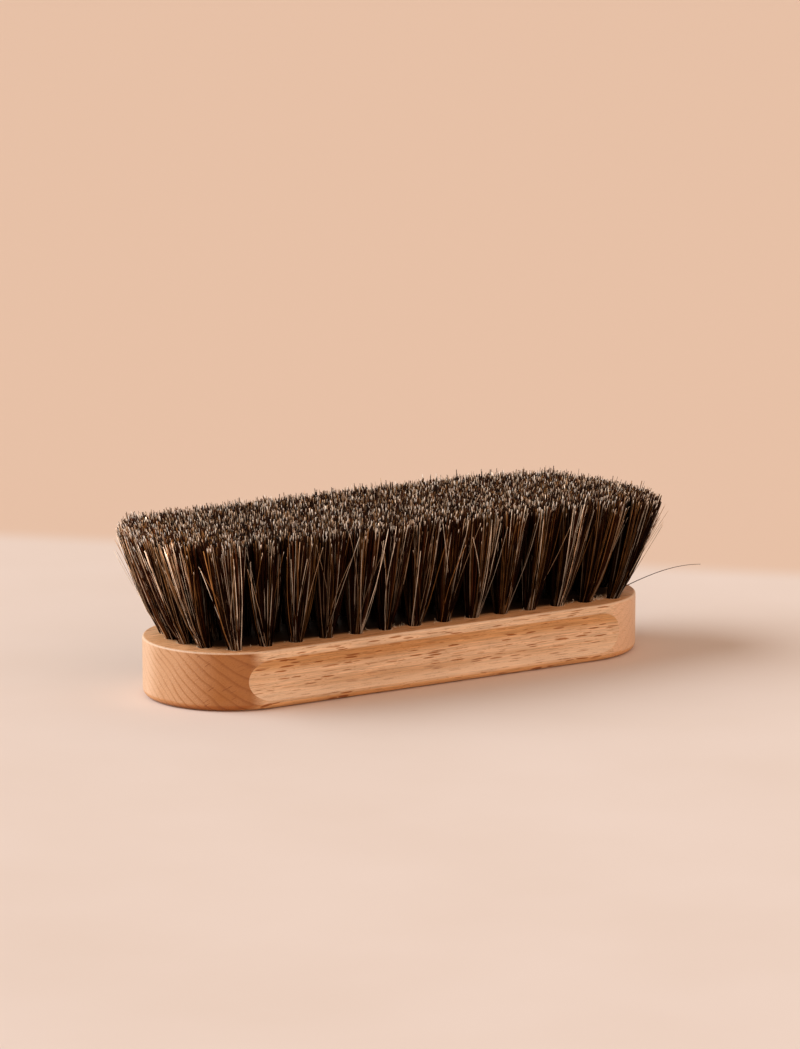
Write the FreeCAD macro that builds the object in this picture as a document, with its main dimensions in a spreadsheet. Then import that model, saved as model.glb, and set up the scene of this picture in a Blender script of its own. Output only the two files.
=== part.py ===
"""Shoe shine brush: a round-ended wooden block with a shallow finger groove along both long sides,
drilled with six rows of blind holes. Each hole holds one tuft of hair, folded round a flat wire
anchor whose ends bite into the wall of the hole. Millimetres, +Z up, hair upwards."""
import FreeCAD
import Part
import os
import Sketcher

SIZES = {
    "block_length": 180.0,      # over both round ends
    "block_width": 56.0,        # the ends are half circles of this width
    "block_height": 19.0,       # back to hair face
    "back_round": 2.3,          # rounding of the lower edge, for the palm
    "face_round": 0.8,          # broken upper edge
    "groove_top": 2.9,          # hair face to the upper edge of the finger groove
    "groove_centre": 0.1,       # its deepest line, below half the block's height
    "groove_depth": 1.45,
    "hole_diameter": 4.5,
    "hole_depth": 12.0,
    "side_margin": 7.5,         # block side to the centres of the outer rows
    "end_margin": 9.0,          # block end to the ring of end tufts
    "corner_margin": 3.6,       # block side to that ring carried on sideways
    "hair_length": 36.5,        # hair face to the trimmed tips
    "side_lean": 5.0,           # outward lean of the outer rows at the tips
    "end_lean": 9.5,            # outward lean of the end tufts at the tips
    "right_drop": 3.6,          # fall of the trimmed tips at the right end
    "tuft_gap": 0.3,            # air between neighbouring tufts at the tips
    "hair_clearance": 0.05,     # hair to wall of the hole
    "anchor_height": 2.2,
    "anchor_thickness": 0.4,
    "anchor_bite": 0.6,         # reach of each anchor end into the wood
    "fold_thickness": 1.5,      # hair folded under the anchor
}

# Tufts in each row and the row's share of the half width, front row first.
ROWS = ((14, -1.0), (15, -0.6), (16, -0.2), (16, 0.2), (15, 0.6), (14, 1.0))
ROW_STEP = 0.4

doc = FreeCAD.newDocument("shoe_shine_brush")
sheet = doc.addObject("Spreadsheet::Sheet", "sizes")
for line, (alias, value) in enumerate(SIZES.items(), start=1):
    sheet.set("A%d" % line, alias)
    sheet.set("B%d" % line, str(value))
    sheet.setAlias("B%d" % line, alias)
doc.recompute()

END_RADIUS = "sizes.block_width / 2"
OUTER_ROW = "(sizes.block_width / 2 - sizes.side_margin)"
HOLE_FLOOR = "(sizes.block_height - sizes.hole_depth)"
ANCHOR_LENGTH = "(sizes.hole_diameter + 2 * sizes.anchor_bite)"
GROOVE_CENTRE = "(sizes.block_height / 2 - sizes.groove_centre)"
GROOVE_RISE = "(sizes.block_height - sizes.groove_top - %s)" % GROOVE_CENTRE
GROOVE_RADIUS = "(%s^2 + sizes.groove_depth^2) / (2 * sizes.groove_depth)" % GROOVE_RISE


def row_end(share):
    """Distance from the middle of the block to the last tuft of a row."""
    across = "%s * %s / (sizes.block_width / 2 - sizes.corner_margin)" % (abs(share), OUTER_ROW)
    reach = "(sizes.block_width / 2 - sizes.end_margin) * sqrt(1 - (%s)^2)" % across
    return "(sizes.block_length / 2 - sizes.block_width / 2 + %s)" % reach


FIELD_END = row_end(ROWS[2][1])
TIGHTEST_PITCH = "min(%s; %s)" % (
    "%s * (%s + sizes.side_lean)" % (ROW_STEP, OUTER_ROW),
    "; ".join("2 * %s / %d" % (row_end(share), count - 1) for count, share in ROWS[:3]),
)
TIP_RADIUS = "(%s - sizes.tuft_gap) / 2" % TIGHTEST_PITCH
ROOT_RADIUS = "sizes.hole_diameter / 2 - sizes.hair_clearance"


def bind(item, **expressions):
    """Binds properties of an object to the sheet; two underscores stand for a dot."""
    for name, expression in expressions.items():
        item.setExpression(name.replace("__", "."), expression)


def body_sketch(body, name, plane, height=None):
    """A sketch on one of the body's own planes, lifted to a height of the sheet."""
    sketch = body.newObject("Sketcher::SketchObject", name)
    origin_plane = [p for p in body.Origin.OriginFeatures if p.Role == plane][0]
    sketch.AttachmentSupport = [(origin_plane, "")]
    sketch.MapMode = "FlatFace"
    if height:
        bind(sketch, AttachmentOffset__Base__z=height)
    return sketch


def fix(sketch, constraint, name, expression):
    """Adds a named dimension to a sketch and binds it to the sheet."""
    index = sketch.addConstraint(constraint)
    sketch.renameConstraint(index, name)
    sketch.setExpression("Constraints." + name, expression)


def add_circle(sketch, name, x, y, radius, x_expression, y_expression, radius_expression):
    """Adds a circle whose place and radius follow the sheet; x and y give the side it lies on."""
    vector = FreeCAD.Vector(x, y, 0)
    index = sketch.addGeometry(Part.Circle(vector, FreeCAD.Vector(0, 0, 1), radius), False)
    fix(sketch, Sketcher.Constraint("Radius", index, radius), name + "_radius", radius_expression)
    fix(sketch, Sketcher.Constraint("DistanceX", -1, 1, index, 3, x), name + "_x", x_expression)
    fix(sketch, Sketcher.Constraint("DistanceY", -1, 1, index, 3, y), name + "_y", y_expression)


def add_rectangle(sketch, name, x, y, length, width, x_expression, y_expression):
    """Adds an upright rectangle, given by its lower left corner, of the anchor's plan size."""
    corners = [(x, y), (x + length, y), (x + length, y + width), (x, y + width)]
    first = sketch.GeometryCount
    for start, end in zip(corners, corners[1:] + corners[:1]):
        points = [FreeCAD.Vector(px, py, 0) for px, py in (start, end)]
        sketch.addGeometry(Part.LineSegment(*points), False)
    for side in range(4):
        following = first + (side + 1) % 4
        sketch.addConstraint(Sketcher.Constraint("Coincident", first + side, 2, following, 1))
        direction = "Vertical" if side % 2 else "Horizontal"
        sketch.addConstraint(Sketcher.Constraint(direction, first + side))
    across = Sketcher.Constraint("DistanceX", first, 1, first, 2, length)
    fix(sketch, across, name + "_length", ANCHOR_LENGTH)
    upward = Sketcher.Constraint("DistanceY", first + 1, 1, first + 1, 2, width)
    fix(sketch, upward, name + "_width", "sizes.anchor_thickness")
    fix(sketch, Sketcher.Constraint("DistanceX", -1, 1, first, 1, x), name + "_x", x_expression)
    fix(sketch, Sketcher.Constraint("DistanceY", -1, 1, first, 1, y), name + "_y", y_expression)


def pattern_along(body, name, feature, sketch, length, count):
    """Repeats a pocket along the length of the block."""
    pattern = body.newObject("PartDesign::LinearPattern", name)
    pattern.Originals = [feature]
    pattern.Direction = (sketch, ["H_Axis"])
    pattern.Occurrences = count
    bind(pattern, Length=length)
    body.Tip = pattern
    return pattern


def round_edges(body, name, feature, height, radius):
    """Rounds the outline of the block at one height."""
    body.Tip = feature
    doc.recompute()
    names = []
    for number, edge in enumerate(feature.Shape.Edges, start=1):
        box = edge.BoundBox
        if abs(box.ZMin - height) < 1e-6 and abs(box.ZMax - height) < 1e-6:
            names.append("Edge%d" % number)
    fillet = body.newObject("PartDesign::Fillet", name)
    fillet.Base = (feature, names)
    bind(fillet, Radius=radius)
    body.Tip = fillet
    return fillet


def make_block():
    """The wooden block with its rounded edges, finger grooves, tuft holes and anchor slots."""
    body = doc.addObject("PartDesign::Body", "block")
    radius = SIZES["block_width"] / 2
    straight = SIZES["block_length"] / 2 - radius
    outline = body_sketch(body, "block_outline", "XY_Plane")
    up = FreeCAD.Vector(0, 0, 1)
    right_end = Part.Circle(FreeCAD.Vector(straight, 0, 0), up, radius)
    left_end = Part.Circle(FreeCAD.Vector(-straight, 0, 0), up, radius)
    quarter = 1.5707963267948966
    outline.addGeometry(Part.ArcOfCircle(right_end, -quarter, quarter), False)
    outline.addGeometry(
        Part.LineSegment(FreeCAD.Vector(straight, radius, 0), FreeCAD.Vector(-straight, radius, 0)), False)
    outline.addGeometry(Part.ArcOfCircle(left_end, quarter, 3 * quarter), False)
    outline.addGeometry(
        Part.LineSegment(FreeCAD.Vector(-straight, -radius, 0), FreeCAD.Vector(straight, -radius, 0)), False)
    for piece, following in ((0, 1), (1, 2), (2, 3), (3, 0)):
        outline.addConstraint(Sketcher.Constraint("Tangent", piece, 2, following, 1))
    outline.addConstraint(Sketcher.Constraint("Symmetric", 0, 3, 2, 3, -1, 1))
    outline.addConstraint(Sketcher.Constraint("PointOnObject", 0, 3, -1))
    fix(outline, Sketcher.Constraint("Radius", 0, radius), "end_radius", END_RADIUS)
    fix(outline, Sketcher.Constraint("DistanceX", 2, 3, 0, 3, 2 * straight), "straight_length",
        "sizes.block_length - sizes.block_width")
    blank = body.newObject("PartDesign::Pad", "block_blank")
    blank.Profile = outline
    bind(blank, Length="sizes.block_height")

    section = body_sketch(body, "groove_section", "YZ_Plane")
    groove_centre = SIZES["block_height"] / 2 - SIZES["groove_centre"]
    groove_rise = SIZES["block_height"] - SIZES["groove_top"] - groove_centre
    groove_radius = (groove_rise ** 2 + SIZES["groove_depth"] ** 2) / (2 * SIZES["groove_depth"])
    groove_offset = radius + groove_radius - SIZES["groove_depth"]
    offset = "%s + %s - sizes.groove_depth" % (END_RADIUS, GROOVE_RADIUS)
    for name, side in (("front", -1), ("back", 1)):
        add_circle(section, name, side * groove_offset, groove_centre, groove_radius,
                   "%d * (%s)" % (side, offset), GROOVE_CENTRE, GROOVE_RADIUS)
    grooves = body.newObject("PartDesign::Pocket", "finger_grooves")
    grooves.Profile = section
    grooves.Type = "ThroughAll"
    grooves.Midplane = True
    lower = round_edges(body, "back_rounding", grooves, 0.0, "sizes.back_round")
    round_edges(body, "face_rounding", lower, sheet.get("block_height"), "sizes.face_round")

    hole_radius = SIZES["hole_diameter"] / 2
    anchor_length = SIZES["hole_diameter"] + 2 * SIZES["anchor_bite"]
    slot_top = "%s + sizes.fold_thickness + sizes.anchor_height" % HOLE_FLOOR
    for number, (count, share) in enumerate(ROWS[:3], start=1):
        end = row_end(share)
        start_x = -straight
        start_y = abs(share) * radius
        across = "%s * %s" % (abs(share), OUTER_ROW)
        mouths = body_sketch(body, "hole_mouths_%d" % number, "XY_Plane", "sizes.block_height")
        slots = body_sketch(body, "anchor_slots_%d" % number, "XY_Plane", slot_top)
        for name, side in (("front", -1), ("back", 1)):
            add_circle(mouths, name, start_x, side * start_y, hole_radius,
                       "-%s" % end, "%d * %s" % (side, across), "sizes.hole_diameter / 2")
            add_rectangle(slots, name, start_x, side * start_y, anchor_length, SIZES["anchor_thickness"],
                          "-%s - %s / 2" % (end, ANCHOR_LENGTH),
                          "%d * %s - sizes.anchor_thickness / 2" % (side, across))
        holes = body.newObject("PartDesign::Pocket", "tuft_holes_%d" % number)
        holes.Profile = mouths
        bind(holes, Length="sizes.hole_depth")
        body.Tip = holes
        pattern_along(body, "tuft_hole_row_%d" % number, holes, mouths, "2 * " + end, count)
        cuts = body.newObject("PartDesign::Pocket", "anchor_cuts_%d" % number)
        cuts.Profile = slots
        bind(cuts, Length="sizes.anchor_height")
        body.Tip = cuts
        pattern_along(body, "anchor_cut_row_%d" % number, cuts, slots, "2 * " + end, count)
    return body


def place(item, x, y, z):
    """Binds the position of an object to the sheet."""
    bind(item, Placement__Base__x=x, Placement__Base__y=y, Placement__Base__z=z)


def make_anchor(name, x, y):
    """One flat wire anchor, lying along the block through its tuft."""
    anchor = doc.addObject("Part::Box", "anchor_" + name)
    bind(anchor, Length=ANCHOR_LENGTH, Width="sizes.anchor_thickness", Height="sizes.anchor_height")
    place(anchor, "%s - %s / 2" % (x, ANCHOR_LENGTH), "%s - sizes.anchor_thickness / 2" % y,
          "%s + sizes.fold_thickness" % HOLE_FLOOR)
    return anchor


def make_tuft(name, along, x, y, anchor):
    """One tuft: straight in its hole, then leaning and widening up to the trimmed tips."""
    endward = "(%s / %s)" % (x, FIELD_END)
    x_tip = "%s + sizes.end_lean * %s^3" % (x, endward)
    y_tip = "%s * (1 + sizes.side_lean / %s)" % (y, OUTER_ROW)
    z_tip = "sizes.block_height + sizes.hair_length"
    if along > 0:
        z_tip += " - sizes.right_drop * %s^5" % endward
    stations = (
        ("root", x, y, HOLE_FLOOR, ROOT_RADIUS),
        ("mouth", x, y, "sizes.block_height", ROOT_RADIUS),
        ("tips", x_tip, y_tip, z_tip, TIP_RADIUS),
    )
    sections = []
    for station, px, py, pz, radius in stations:
        circle = doc.addObject("Part::Circle", "%s_%s" % (name, station))
        bind(circle, Radius=radius)
        place(circle, px, py, pz)
        sections.append(circle)
    hair = doc.addObject("Part::Loft", name + "_hair")
    hair.Sections = sections
    hair.Solid = True
    hair.Ruled = True
    tuft = doc.addObject("Part::Cut", name)
    tuft.Base = hair
    tuft.Tool = anchor
    return tuft


def rim_name(row, index, count):
    """Name of a tuft on the rim of the field, or None for one inside it."""
    if row == 1:
        return "tuft_front_%02d" % (index + 1)
    if row == len(ROWS):
        return "tuft_back_%02d" % (index + 1)
    if index == 0:
        return "tuft_left_%d" % (row - 1)
    if index == count - 1:
        return "tuft_right_%d" % (row - 1)
    return None


def make_group(name, members):
    """Several separate solids that share one node."""
    group = doc.addObject("Part::Compound", name)
    group.Links = members
    return group


nodes = [make_block()]
for row, (count, share) in enumerate(ROWS, start=1):
    inner = []
    anchors = []
    for index in range(count):
        along = -1 + 2 * index / (count - 1)
        x = "(%r * %s)" % (along, row_end(share))
        y = "(%r * %s)" % (share, OUTER_ROW)
        anchor = make_anchor("%d_%02d" % (row, index + 1), x, y)
        anchors.append(anchor)
        name = rim_name(row, index, count)
        tuft = make_tuft(name or "tuft_%d_%02d" % (row, index + 1), along, x, y, anchor)
        if name:
            nodes.append(tuft)
        else:
            inner.append(tuft)
    if inner:
        nodes.append(make_group("tufts_row_%d" % row, inner))
    nodes.append(make_group("anchors_row_%d" % row, anchors))
doc.recompute()

for item in doc.Objects:
    if "Invalid" in item.State or "Error" in item.State:
        raise RuntimeError("%s could not be built: %s" % (item.Name, item.State))

os.makedirs("parts", exist_ok=True)
for node in nodes:
    node.Label = node.Name
    if node.Shape.isNull() or not node.Shape.isValid():
        raise RuntimeError("%s has no valid shape" % node.Name)
for node in nodes:
    node.Shape.exportStep("parts/%s.step" % node.Name)
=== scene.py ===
"""Looks of the shoe shine brush: an oiled beech block and ninety tufts of trimmed dark hair."""
import logging
import math
import zlib
from dataclasses import dataclass, field
from enum import Enum
from functools import cached_property, reduce
from typing import Iterable, Optional, Union

import bmesh
import bpy
import numpy as np
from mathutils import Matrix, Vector
from mathutils.geometry import convex_hull_2d


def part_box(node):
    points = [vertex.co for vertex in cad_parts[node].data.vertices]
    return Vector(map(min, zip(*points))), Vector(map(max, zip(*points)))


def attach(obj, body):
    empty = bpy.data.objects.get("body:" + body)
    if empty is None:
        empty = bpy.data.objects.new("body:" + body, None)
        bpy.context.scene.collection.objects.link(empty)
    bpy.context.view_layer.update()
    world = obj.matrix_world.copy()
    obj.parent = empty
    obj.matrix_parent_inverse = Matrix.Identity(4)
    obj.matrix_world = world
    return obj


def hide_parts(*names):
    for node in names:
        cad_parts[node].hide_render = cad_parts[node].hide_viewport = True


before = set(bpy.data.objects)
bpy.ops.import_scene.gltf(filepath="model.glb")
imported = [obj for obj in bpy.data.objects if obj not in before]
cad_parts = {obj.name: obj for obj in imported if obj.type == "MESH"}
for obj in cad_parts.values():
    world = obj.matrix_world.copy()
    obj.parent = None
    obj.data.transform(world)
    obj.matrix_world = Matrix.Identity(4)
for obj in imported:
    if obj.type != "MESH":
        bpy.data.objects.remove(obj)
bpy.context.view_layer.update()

LOG = logging.getLogger("shoe_shine_brush")
MM = 0.001
BODY = "root"
TINT, ALONG, DEEP = "hair_tint", "hair_along", "hair_deep"
VALUE, VECTOR, COLOUR = "NodeSocketFloat", "NodeSocketVector", "NodeSocketColor"
UP = np.array([0.0, 0.0, 1.0])
GOLDEN_ANGLE = 2.399963

# Colour sockets of a Mix node by number, because its sockets of other types have the same names.
MIX_FACTOR, MIX_FIRST, MIX_SECOND, MIX_RESULT = 0, 6, 7, 2

Array = np.ndarray
Cell = tuple[float, float, float]
Colour = tuple[float, float, float]
Point = tuple[float, float, float]
Material = bpy.types.Material
Rng = np.random.Generator
Stations = tuple[float, ...]
Span = tuple[float, float]
Socket = bpy.types.NodeSocket
Sockets = bpy.types.bpy_prop_collection
Feed = Union[Socket, float, Colour]
Key = Union[int, str]
Triple = tuple[Socket, ...]

COOL: Colour = (0.84, 0.94, 1.0)
WARM: Colour = (1.0, 0.76, 0.6)


class HairShade(Enum):
    """Shades of hair mixed in one brush: linear colour and share of the hairs."""

    BLACK = (0.01, 0.0022, 0.0006), 0.57
    CHESTNUT = (0.052, 0.0145, 0.0045), 0.17
    GOLDEN = (0.155, 0.07, 0.023), 0.13
    BEIGE = (0.31, 0.2, 0.122), 0.08
    PALE = (0.68, 0.55, 0.43), 0.05

    def __init__(self, colour: Colour, share: float) -> None:
        """Names the two values of a shade."""
        self.colour, self.share = colour, share


class Slot(Enum):
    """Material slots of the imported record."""

    BEECH = "beech"
    HAIR = "hair"


def put(name: str, data: bpy.types.ID) -> bpy.types.Object:
    """Makes an object and links it to the scene.

    Args:
        name: name of the object.
        data: its mesh, light or camera.

    Returns:
        The object.
    """
    made = bpy.data.objects.new(name, data)
    bpy.context.scene.collection.objects.link(made)
    return made


def dress(name: str, finish: Material) -> None:
    """Gives a CAD node its finish.

    Args:
        name: name of the node.
        finish: its material.
    """
    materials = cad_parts[name].data.materials
    materials.clear()
    materials.append(finish)
    LOG.info("%s: dressed", name)


class Graph:
    """Adds and links nodes in one shader node tree."""

    def __init__(self, tree: bpy.types.NodeTree) -> None:
        """Starts with the tree's own nodes."""
        self.tree = tree

    @cached_property
    def coords(self) -> Sockets:
        """Outputs of the tree's one Texture Coordinate node."""
        return self.node("ShaderNodeTexCoord").outputs

    def node(self, kind: str, feeds: Optional[dict[Key, Feed]] = None, **settings: object) -> bpy.types.Node:
        """Adds a node.

        Args:
            kind: Blender's name of the node type.
            feeds: number or name of an input to its value.
            settings: properties set on the node.

        Returns:
            The new node.
        """
        made = self.tree.nodes.new(kind)
        for name, value in settings.items():
            setattr(made, name, value)
        for key, value in (feeds or {}).items():
            self.feed(made.inputs[key], value)
        return made

    def feed(self, socket: Socket, value: Feed) -> None:
        """Links an output to a socket, or sets the socket's own value.

        Args:
            socket: the input to fill.
            value: an output socket, a number or a colour.
        """
        if isinstance(value, Socket):
            self.tree.links.new(value, socket)
        elif socket.type == "RGBA":
            socket.default_value = (*value, 1.0)
        else:
            socket.default_value = value

    def math(self, operation: str, *values: Feed) -> Socket:
        """Result of a Math node."""
        return self.node("ShaderNodeMath", dict(enumerate(values)), operation=operation).outputs[0]

    def product(self, *values: Feed) -> Socket:
        """Product of several values."""
        return reduce(lambda done, value: self.math("MULTIPLY", done, value), values)

    def total(self, *values: Feed) -> Socket:
        """Sum of several values."""
        return reduce(lambda done, value: self.math("ADD", done, value), values)

    def rest(self, share: Feed) -> Socket:
        """What a share leaves of 1."""
        return self.math("SUBTRACT", 1.0, share)

    def step(self, value: Feed, low: Feed, high: Feed) -> Socket:
        """Smooth step from 0 at low to 1 at high."""
        feeds = {"Value": value, "From Min": low, "From Max": high}
        return self.node("ShaderNodeMapRange", feeds, interpolation_type="SMOOTHSTEP").outputs[0]

    def band(self, value: Feed, rise: Span, fall: Span) -> Socket:
        """Smooth band, from 0 to 1 over rise and back to 0 over fall."""
        return self.product(self.step(value, *rise), self.rest(self.step(value, *fall)))

    def span(self, value: Feed, low: float, high: float) -> Socket:
        """Stretches a value from 0..1 to low..high."""
        return self.node("ShaderNodeMapRange", {"Value": value, "To Min": low, "To Max": high}).outputs[0]

    def split(self, vector: Feed) -> tuple[Socket, ...]:
        """Parts a vector into its three values."""
        return tuple(self.node("ShaderNodeSeparateXYZ", {0: vector}).outputs)

    def scaled(self, vector: Feed, factor: Feed) -> Socket:
        """Scales a vector."""
        feeds = {"Vector": vector, "Scale": factor}
        return self.node("ShaderNodeVectorMath", feeds, operation="SCALE").outputs[0]

    def stretched(self, axes: Iterable[Feed], cell: Cell) -> Socket:
        """Vector whose axes count in cells of the given sizes."""
        counts = (self.math("DIVIDE", axis, size) for axis, size in zip(axes, cell))
        return self.node("ShaderNodeCombineXYZ", dict(enumerate(counts))).outputs[0]

    def noise(self, vector: Feed, detail: float = 2.0, roughness: float = 0.5) -> Socket:
        """Fractal noise of unit scale, 0 to 1."""
        feeds = {"Vector": vector, "Scale": 1.0, "Detail": detail, "Roughness": roughness}
        return self.node("ShaderNodeTexNoise", feeds).outputs[0]

    def cells(self, vector: Feed) -> Sockets:
        """Outputs of Voronoi cells of unit scale."""
        return self.node("ShaderNodeTexVoronoi", {"Vector": vector, "Scale": 1.0}).outputs

    def mix(self, factor: Feed, first: Feed, second: Feed, blend: str = "MIX") -> Socket:
        """Mixes two colours, with the second one at factor 1."""
        feeds = {MIX_FACTOR: factor, MIX_FIRST: first, MIX_SECOND: second}
        return self.node("ShaderNodeMix", feeds, data_type="RGBA", blend_type=blend).outputs[MIX_RESULT]

    def shaded(self, colour: Feed, shade: Feed) -> Socket:
        """Multiplies a colour by a shade of grey."""
        grey = self.node("ShaderNodeCombineColor", dict.fromkeys(range(3), shade)).outputs[0]
        return self.mix(1.0, colour, grey, blend="MULTIPLY")


class EffectGroup:
    """A shader node group that several finishes share."""

    def __init__(self, name: str, inputs: dict[str, str], outputs: dict[str, str]) -> None:
        """Makes the group with its sockets.

        Args:
            name: name of the group.
            inputs: socket name to socket type.
            outputs: socket name to socket type.
        """
        self.tree = bpy.data.node_groups.new(name, "ShaderNodeTree")
        for side, sockets in (("INPUT", inputs), ("OUTPUT", outputs)):
            for label, kind in sockets.items():
                self.tree.interface.new_socket(name=label, in_out=side, socket_type=kind)
        self.graph = Graph(self.tree)
        self.source = self.graph.node("NodeGroupInput").outputs
        self.sink = self.graph.node("NodeGroupOutput").inputs

    def place(self, graph: Graph, **feeds: Feed) -> Sockets:
        """Places the group in a material, with its inputs by name, and returns its outputs."""
        return graph.node("ShaderNodeGroup", feeds, node_tree=self.tree).outputs


def make_mottle() -> EffectGroup:
    """Makes the uneven gloss: a soft noise from Low to High, with a grain in millimetres.

    Returns:
        The group.
    """
    inputs = {"Vector": VECTOR, "Grain": VALUE, "Low": VALUE, "High": VALUE}
    group = EffectGroup("uneven_gloss", inputs, {"Value": VALUE})
    graph, source = group.graph, group.source
    grains = graph.scaled(source["Vector"], graph.math("DIVIDE", 1 / MM, source["Grain"]))
    soft = graph.noise(grains, detail=3.0)
    usual_low, usual_high = 0.3, 0.7
    feeds = {"Value": soft, "From Min": usual_low, "From Max": usual_high,
             "To Min": source["Low"], "To Max": source["High"]}
    graph.feed(group.sink["Value"], graph.node("ShaderNodeMapRange", feeds).outputs[0])
    return group


@dataclass(frozen=True)
class WoodPoint:
    """A point of the block in its figure, with its place in millimetres and the parts of its normal.

    The grain is the place along the block, across the rays and outward through the rings. The masks are
    for the end grain, and for those sides of the round ends that are cut against the grain.
    """

    graph: Graph
    place: Triple
    turn: Triple
    grain: Triple
    endward: Socket
    end: Socket
    against: Socket


@dataclass(frozen=True)
class BeechFigure:
    """Figure of the beech: growth rings, fibres, pores and rays along the block, with painted shade and
    painted highlights by how the surface turns.

    Cells are in millimetres along the block, across the rays and outward through the rings. A turn is the
    span of one part of the normal over which an effect comes in, and a cover is its greatest share.
    """

    slow_cell: Cell = (55.0, 14.0, 14.0)
    tone_cell: Cell = (70.0, 5.0, 5.0)
    tone_span: Span = (0.36, 0.66)
    sapwood: Colour = (0.8, 0.54, 0.345)
    heartwood: Colour = (0.64, 0.38, 0.202)

    end_turn: Span = (0.08, 0.32)
    end_cover: float = 0.94
    end_grain: Colour = (0.61, 0.325, 0.165)
    square_turn: Span = (0.58, 1.0)
    slant_grain: Colour = (0.36, 0.126, 0.022)
    against_turn: Span = (-0.2, 0.2)
    pale_grain: Colour = (0.82, 0.52, 0.33)

    face_turn: Span = (0.9, 0.99)
    face_cover: float = 0.8
    hair_face: Colour = (0.86, 0.41, 0.175)
    # Painted shade: faces that turn downward, such as the upper half of the groove and the rounded bottom
    # edges, are darkened and warmed.
    under_shade_rise: Span = (0.06, 0.28)
    under_shade_fall: Span = (0.8, 0.98)
    painted_under_shade: Colour = (0.93, 0.78, 0.55)
    # Painted light: the strip above the groove is made paler where it catches more light.
    ledge_light_edge: Span = (15.7, 16.3)
    ledge_light_turn: Span = (0.6, 0.2)
    ledge_light_cover: float = 0.5
    painted_ledge_light: Colour = (0.88, 0.64, 0.44)

    ring_width: float = 2.2
    ring_warp: float = 1.6
    ring_bow: float = 0.006
    uneven_cell: Cell = (1.0, 40.0, 4.5)
    uneven_by: float = 2.4
    late_rise: Span = (0.6, 0.93)
    late_fall: Span = (0.955, 1.0)
    late_side: float = 0.45
    late_against: float = 0.3
    late_patch: Span = (0.35, 0.62)
    late_faint: float = 0.5
    latewood: Colour = (0.72, 0.6, 0.44)

    fibre_cell: Cell = (11.0, 0.34, 0.34)
    fibre_shade: Span = (0.36, 1.62)
    fibre_end: float = 0.35

    pore_cell: Cell = (2.6, 0.42, 0.42)
    pore_edge: Span = (0.1, 0.26)
    pore_cover: float = 0.8
    pore: Colour = (0.7, 0.54, 0.38)

    waver_cell: Cell = (9.0, 3.0, 1.0)
    waver_by: float = 0.5
    ray_cell: Cell = (8.0, 0.5, 7.0)
    ray_size: Span = (0.22, 0.44)
    ray_size_end: float = 0.58
    ray_core: float = 0.65
    ray_pick: Span = (0.25, 0.75)
    ray_faint: float = 0.4
    ray_turn: Span = (0.55, 0.95)
    ray_square: float = 0.15
    ray_against: float = 0.4
    ray: Colour = (0.48, 0.265, 0.11)

    # Painted highlights: pale specks on the left end, which faces the window light, and a paler band on faces
    # that turn partly upward.
    speck_cell: Cell = (0.3, 0.3, 0.3)
    speck_span: Span = (0.58, 0.74)
    speck_turn: Span = (-0.6, -0.95)
    speck_cover: float = 0.45
    highlight_rise: Span = (0.12, 0.4)
    highlight_fall: Span = (0.8, 0.98)
    highlight_cover: Span = (0.15, 0.95)
    painted_highlight: Colour = (0.86, 0.64, 0.46)

    fibre_relief: float = 0.35
    pore_relief: float = 0.25
    ray_relief: float = 0.35

    def build(self) -> EffectGroup:
        """Builds the figure as a group.

        Returns:
            The group, with Color and Height outputs.
        """
        group = EffectGroup("beech_figure", {"Vector": VECTOR, "Normal": VECTOR},
                            {"Color": COLOUR, "Height": VALUE})
        graph = group.graph
        place = graph.split(graph.scaled(group.source["Vector"], 1 / MM))
        turn = graph.split(group.source["Normal"])
        x, y, z = place
        half = math.sqrt(0.5)
        grain = (x, graph.product(graph.total(y, z), half), graph.product(graph.math("SUBTRACT", z, y), half))
        endward = graph.math("ABSOLUTE", turn[0])
        end = graph.step(endward, *self.end_turn)
        against = graph.step(graph.product(turn[0], turn[1]), *self.against_turn)
        at = WoodPoint(graph, place, turn, grain, endward, end, against)

        colour = graph.mix(self._rings(at), self._ground(at), self.latewood, blend="MULTIPLY")
        fibre = graph.noise(graph.stretched(grain, self.fibre_cell), detail=3.0, roughness=0.6)
        swing = graph.product(graph.math("SUBTRACT", graph.span(fibre, *self.fibre_shade), 1.0),
                              graph.span(end, 1.0, self.fibre_end))
        colour = graph.shaded(colour, graph.total(swing, 1.0))
        pores = graph.cells(graph.stretched(grain, self.pore_cell))
        pore = graph.rest(graph.step(pores["Distance"], *self.pore_edge))
        colour = graph.mix(graph.product(pore, self.pore_cover), colour, self.pore, blend="MULTIPLY")
        ray, depth = self._rays(at)
        colour = graph.mix(graph.product(ray, depth), colour, self.ray, blend="MULTIPLY")
        # Painted highlights and glints.
        colour = graph.mix(self._highlight_mask(at), colour, self.painted_highlight)

        height = graph.product(fibre, self.fibre_relief)
        for dent, share in ((pore, self.pore_relief), (ray, self.ray_relief)):
            height = graph.math("SUBTRACT", height, graph.product(dent, share))
        graph.feed(group.sink["Color"], colour)
        graph.feed(group.sink["Height"], height)
        return group

    def _ground(self, at: WoodPoint) -> Socket:
        """Colours the plain wood, the end grain and the hair face, with painted shade on faces that turn
        downward, such as the upper half of the groove, and painted light on the strip above the groove.

        Args:
            at: the point.

        Returns:
            The colour.
        """
        graph, upward = at.graph, at.turn[2]
        tone = graph.noise(graph.stretched(at.grain, self.tone_cell), detail=3.0)
        colour = graph.mix(graph.step(tone, *self.tone_span), self.sapwood, self.heartwood)
        cut = graph.mix(graph.step(at.endward, *self.square_turn), self.slant_grain, self.end_grain)
        cut = graph.mix(at.against, self.pale_grain, cut)
        colour = graph.mix(graph.product(at.end, self.end_cover), colour, cut)
        face = graph.product(graph.step(upward, *self.face_turn), self.face_cover)
        colour = graph.mix(face, colour, self.hair_face)
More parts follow.
